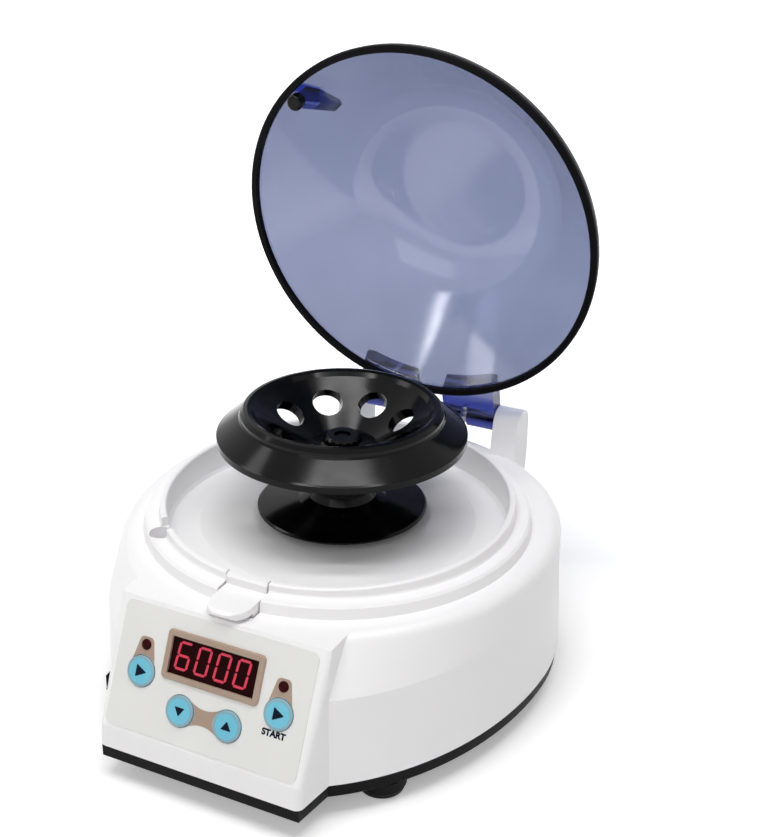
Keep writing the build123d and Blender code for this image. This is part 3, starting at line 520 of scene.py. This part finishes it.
def pick_edges(piece, wanted):
    """Select the edges of the edited mesh whose middle is wanted."""
    bpy.ops.mesh.select_mode(type="EDGE")
    work = bmesh.from_edit_mesh(piece.data)
    for edge in work.edges:
        edge.select_set(bool(wanted((edge.verts[0].co + edge.verts[1].co) / 2)))
    bmesh.update_edit_mesh(piece.data)


def round_corners(radius, segments=4):
    """Round the corners of the flat outline in hand."""
    bpy.ops.mesh.select_all(action="SELECT")
    bpy.ops.mesh.bevel(affect="VERTICES", offset=radius, segments=segments)
    bpy.ops.mesh.select_all(action="SELECT")
    bpy.ops.mesh.remove_doubles(threshold=0.001)


def thicken(thickness):
    """Push the flat outline in hand up to its thickness and close it."""
    bpy.ops.mesh.select_all(action="SELECT")
    bpy.ops.mesh.solidify(thickness=thickness)
    bpy.ops.mesh.select_all(action="SELECT")
    bpy.ops.mesh.normals_make_consistent(inside=False)
    bpy.ops.object.mode_set(mode="OBJECT")


def cut_round(piece, x, y):
    """Cut a round bite out of a flat piece at a key, so that the key moves clear of it."""
    bpy.ops.mesh.primitive_cylinder_add(
        vertices=128, radius=KEY_CLEARANCE_RADIUS, depth=2, location=(x, y, 0)
    )
    cutter = bpy.context.object
    hold(piece)
    bpy.ops.object.modifier_add(type="BOOLEAN")
    bite = piece.modifiers[-1]
    bite.operation = "DIFFERENCE"
    bite.solver = "EXACT"
    bite.object = cutter
    bpy.ops.object.modifier_apply(modifier=bite.name)
    bpy.data.objects.remove(cutter)


def set_down(piece, x, height, lift, finish, body, slot):
    """Lay a finished piece on the panel with its underside at lift, and dress it."""
    lowest = min(corner.co.z for corner in piece.data.vertices)
    piece.matrix_world = panel_matrix(x, height, lift - lowest)
    apply_place(piece)
    piece.data.materials.clear()
    piece.data.materials.append(finish)
    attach(piece, body)


def key_disc(name, x, height, body):
    """Bright face of a key inside its paler rim."""
    bpy.ops.mesh.primitive_circle_add(vertices=64, radius=KEY_DISC_RADIUS, fill_type="NGON")
    piece = open_new(name)
    thicken(PRINT)
    set_down(piece, x, height, KEY_TOP, key_blue, body, "key_blue")


def arrow(name, size, bearing, x, height, body):
    """Printed triangle on a key, pointing to its bearing in degrees."""
    length, width = size
    bpy.ops.mesh.primitive_circle_add(vertices=3, radius=1, fill_type="NGON")
    piece = open_new(name)
    bpy.ops.transform.resize(value=(width / TRIANGLE_BASE, length / TRIANGLE_HEIGHT, 1))
    round_corners(ARROW_CORNER)
    thicken(PRINT)
    piece.rotation_euler = (0, 0, math.radians(bearing - 90))
    apply_place(piece)
    set_down(piece, x, height, KEY_TOP + PRINT, navy_print, body, "key_blue")


def lamp_wedge(name, x):
    """Printed ground behind a lamp, wider towards its key."""
    piece = new_sheet(name, WEDGE_LOW_WIDTH, WEDGE_HEIGHT)
    pick_corners(piece, lambda co: co.y > 0)
    bpy.ops.transform.resize(value=(WEDGE_TOP_WIDTH / WEDGE_LOW_WIDTH, 1, 1))
    round_corners(WEDGE_CORNER, WEDGE_CORNER_STEPS)
    thicken(PRINT)
    middle = LAMP[1] + WEDGE_OVER_LAMP - WEDGE_HEIGHT / 2
    cut_round(piece, 0, SIDE_KEY[1] - middle)
    set_down(piece, x, middle, SHEET_TOP, taupe, "base", "taupe_frame")


def lamp_lens(name, x):
    """Low red dome over an indicator lamp."""
    bpy.ops.mesh.primitive_uv_sphere_add(segments=32, ring_count=16, radius=LENS_RADIUS)
    piece = open_new(name)
    bpy.ops.mesh.bisect(
        plane_co=(0, 0, 0.0001), plane_no=(0, 0, 1), clear_inner=True, use_fill=True
    )
    bpy.ops.mesh.select_all(action="SELECT")
    bpy.ops.transform.resize(value=(1, 1, LENS_RISE / LENS_RADIUS))
    bpy.ops.mesh.normals_make_consistent(inside=False)
    bpy.ops.object.mode_set(mode="OBJECT")
    bpy.ops.object.shade_smooth_by_angle(angle=math.radians(40))
    set_down(piece, x, LAMP[1], SHEET_TOP + PRINT, lamp_red, "base", "lamp_red")


def waisted_band(name):
    """Printed ground between the two arrow keys, drawn in at its middle."""
    piece = new_sheet(name, BAND_LENGTH, BAND_HEIGHT)
    pick_edges(piece, lambda co: abs(co.y) > BAND_HEIGHT / 4)
    bpy.ops.mesh.subdivide(number_cuts=2 * BAND_HALF_STEPS - 1)
    for cut in range(1 - BAND_HALF_STEPS, BAND_HALF_STEPS):
        share = 1 - (cut / BAND_HALF_STEPS) ** 2
        middle = cut * BAND_LENGTH / (2 * BAND_HALF_STEPS)
        pick_corners(piece, lambda co: abs(co.x - middle) < 0.1)
        bpy.ops.transform.resize(value=(1, 1 - (1 - BAND_WAIST) * share, 1))
    thicken(PRINT)
    for side in (-1, 1):
        cut_round(piece, side * ARROW_KEY[0], 0)
    set_down(piece, 0.0, ARROW_KEY[1], SHEET_TOP, taupe, "base", "taupe_frame")


def lamp_segment(letter, digit_x):
    """One lit bar of a figure with pointed ends."""
    across, up, turn_angle = SEGMENTS[letter]
    span = DIGIT_WIDTH if turn_angle == 0 else DIGIT_HEIGHT / 2
    piece = new_sheet("segment", span - SEGMENT_GAP, SEGMENT_WIDTH)
    round_corners(SEGMENT_WIDTH / 2 - SEGMENT_TIP, 1)
    thicken(PRINT)
    piece.rotation_euler = (0, 0, math.radians(turn_angle))
    piece.location = (digit_x + across * DIGIT_WIDTH / 2, up * DIGIT_HEIGHT / 2, 0)
    apply_place(piece)
    return piece


def speed_digits(name, figures):
    """Lit figures of the display as one leaning piece."""
    middle = (len(figures) - 1) / 2
    bars = [
        lamp_segment(letter, (place - middle) * DIGIT_PITCH)
        for place, figure in enumerate(figures)
        for letter in LIT[figure]
    ]
    hold(bars[0])
    for bar in bars:
        bar.select_set(True)
    bpy.ops.object.join()
    digits = bpy.context.object
    digits.name = name
    for corner in digits.data.vertices:
        corner.co.x += DIGIT_SLANT * corner.co.y
    set_down(digits, *DIGITS_PLACE, WINDOW_TOP, digit_glow, "base", "display_dark")


def lettering(name, word):
    """Raised print of a plain word under the start key."""
    bpy.ops.object.text_add()
    text = bpy.context.object
    text.name = name
    text.data.body = word
    text.data.align_x = "CENTER"
    text.data.align_y = "CENTER"
    text.data.size = WORD_SIZE
    text.data.extrude = PRINT / 2
    text.data.offset = WORD_WEIGHT
    hold(text)
    bpy.ops.object.convert(target="MESH")
    set_down(bpy.context.object, *WORD_PLACE, SHEET_TOP, navy_print, "base", "key_blue")


for side, label in ((-1, "pulse"), (1, "start")):
    key_disc(label + "_disc", side * SIDE_KEY[0], SIDE_KEY[1], label + "_key")
for side, label in ((-1, "down"), (1, "up")):
    key_disc(label + "_disc", side * ARROW_KEY[0], ARROW_KEY[1], label + "_key")
for side, label in ((-1, "pulse"), (1, "start")):
    arrow_x = side * SIDE_KEY[0] + SIDE_ARROW_SHIFT
    arrow(label + "_arrow", SIDE_ARROW, 0, arrow_x, SIDE_KEY[1], label + "_key")
for side, label in ((-1, "down"), (1, "up")):
    arrow_x = side * ARROW_KEY[0]
    arrow(label + "_arrow", STEP_ARROW, side * 90, arrow_x, ARROW_KEY[1], label + "_key")
for side, label in ((-1, "pulse"), (1, "start")):
    lamp_wedge(label + "_wedge", side * LAMP[0])
    lamp_lens(label + "_lamp_lens", side * LAMP[0])
waisted_band("arrow_band")
speed_digits("speed_digits", "6000")
lettering("start_word", "START")


# Camera, floor and light

CAMERA_PLACE = ROTOR_AXIS + Vector((221.995, -419.41, 318.57)) * MM
CAMERA_RIGHT = Vector((0.89519, 0.44557, 0.01062))
CAMERA_UP = Vector((-0.19533, 0.37081, 0.90795))
CAMERA_BACK = Vector((0.40061, -0.81485, 0.41897))
LENS_MM = 62.93
SENSOR_MM = 36

# White floor, which shines less within the first distance of the part than past the second, in
# metres, so that its shadow shows
FLOOR_REACH = 6.0
FLOOR_COLOUR = (0.9, 0.9, 0.9, 1)
FLOOR_ROUGHNESS = 0.9
GLOW_DISTANCES = (0.12, 0.45)
GLOW_STRENGTHS = (0.28, 1.0)

WHITE = (1, 1, 1, 1)
AMBIENT_COLOUR = (1.0, 0.985, 0.99, 1)
AMBIENT_STRENGTH = 0.34

# Strip lights overhead, which lie across the view and give the rotor its grey patches
STRIPS = {"front_strip": (0.081, -0.267, 1.1), "middle_strip": (0.02, -0.022, 1.1)}
STRIP_SIZE = (0.95, 0.09)
STRIP_POWER = 3.7
STRIP_TURN = (0, 0, math.atan2(CAMERA_RIGHT.y, CAMERA_RIGHT.x))

# Softboxes: place, target, width and height in metres, and power in watts
SOFTBOXES = {
    "front_softbox": ((0.15, -1.2, 0.75), (0, 0, 0.1), (1.2, 0.7), 3.6),
    "side_softbox": ((-0.78, -0.2, 0.78), (0, 0, 0.15), (0.22, 0.26), 0.8),
}


def show(name, data):
    """Put a camera, lamp or mesh into the scene."""
    thing = bpy.data.objects.new(name, data)
    bpy.context.scene.collection.objects.link(thing)
    return thing


def seen_directly(tree):
    """Value that is 1 for camera, glossy and transmission rays."""
    path = tree.nodes.new("ShaderNodeLightPath").outputs
    mirrored = calculate(tree, "MAXIMUM", path["Is Camera Ray"], path["Is Glossy Ray"])
    return calculate(tree, "MAXIMUM", mirrored, path["Is Transmission Ray"])


lens = bpy.data.cameras.new("camera")
lens.lens = LENS_MM
lens.sensor_width = SENSOR_MM
camera = show("camera", lens)
turn = Matrix((CAMERA_RIGHT, CAMERA_UP, CAMERA_BACK)).transposed().to_4x4()
camera.matrix_world = Matrix.Translation(CAMERA_PLACE) @ turn
bpy.context.scene.camera = camera

floor_mesh = bpy.data.meshes.new("floor")
floor_turns = ((-1, -1), (1, -1), (1, 1), (-1, 1))
floor_corners = [(x * FLOOR_REACH, y * FLOOR_REACH, 0) for x, y in floor_turns]
floor_mesh.from_pydata(floor_corners, [], [(0, 1, 2, 3)])
floor = show("floor", floor_mesh)

floor_paint, tree, shader = blank_material("floor_paint")
shader.inputs["Base Color"].default_value = FLOOR_COLOUR
shader.inputs["Roughness"].default_value = FLOOR_ROUGHNESS
shader.inputs["Specular IOR Level"].default_value = 0.0
shader.inputs["Emission Color"].default_value = WHITE
away = calculate_vector(tree, "LENGTH", object_place(tree))
glow = ramp(tree, away, *GLOW_DISTANCES, *GLOW_STRENGTHS)
shown_glow = calculate(tree, "MULTIPLY", seen_directly(tree), glow)
feed(tree, shader.inputs["Emission Strength"], shown_glow)
floor_mesh.materials.append(floor_paint)

world = bpy.data.worlds.new("studio")
bpy.context.scene.world = world
world.use_nodes = True
tree = world.node_tree
ambient = tree.nodes["Background"]
ambient.inputs["Color"].default_value = AMBIENT_COLOUR
ambient.inputs["Strength"].default_value = AMBIENT_STRENGTH
backdrop = add_node(tree, "Background", {"Color": WHITE, "Strength": 1.0})
sky = mix_shaders(
    tree, seen_directly(tree), ambient.outputs["Background"], backdrop.outputs["Background"]
)
feed(tree, tree.nodes["World Output"].inputs["Surface"], sky)


def aimed(place, target):
    """Turn of a lamp at a place towards a target."""
    return (Vector(target) - Vector(place)).to_track_quat("-Z", "Y").to_euler()


def soft_light(name, place, turn, size, power):
    """Rectangular softbox."""
    light = bpy.data.lights.new(name, "AREA")
    light.shape = "RECTANGLE"
    light.size, light.size_y = size
    light.energy = power
    lamp = show(name, light)
    lamp.location = place
    lamp.rotation_euler = turn


for name, place in STRIPS.items():
    soft_light(name, place, STRIP_TURN, STRIP_SIZE, STRIP_POWER)
for name, (place, target, size, power) in SOFTBOXES.items():
    soft_light(name, place, aimed(place, target), size, power)

bpy.context.scene.view_settings.view_transform = "Standard"
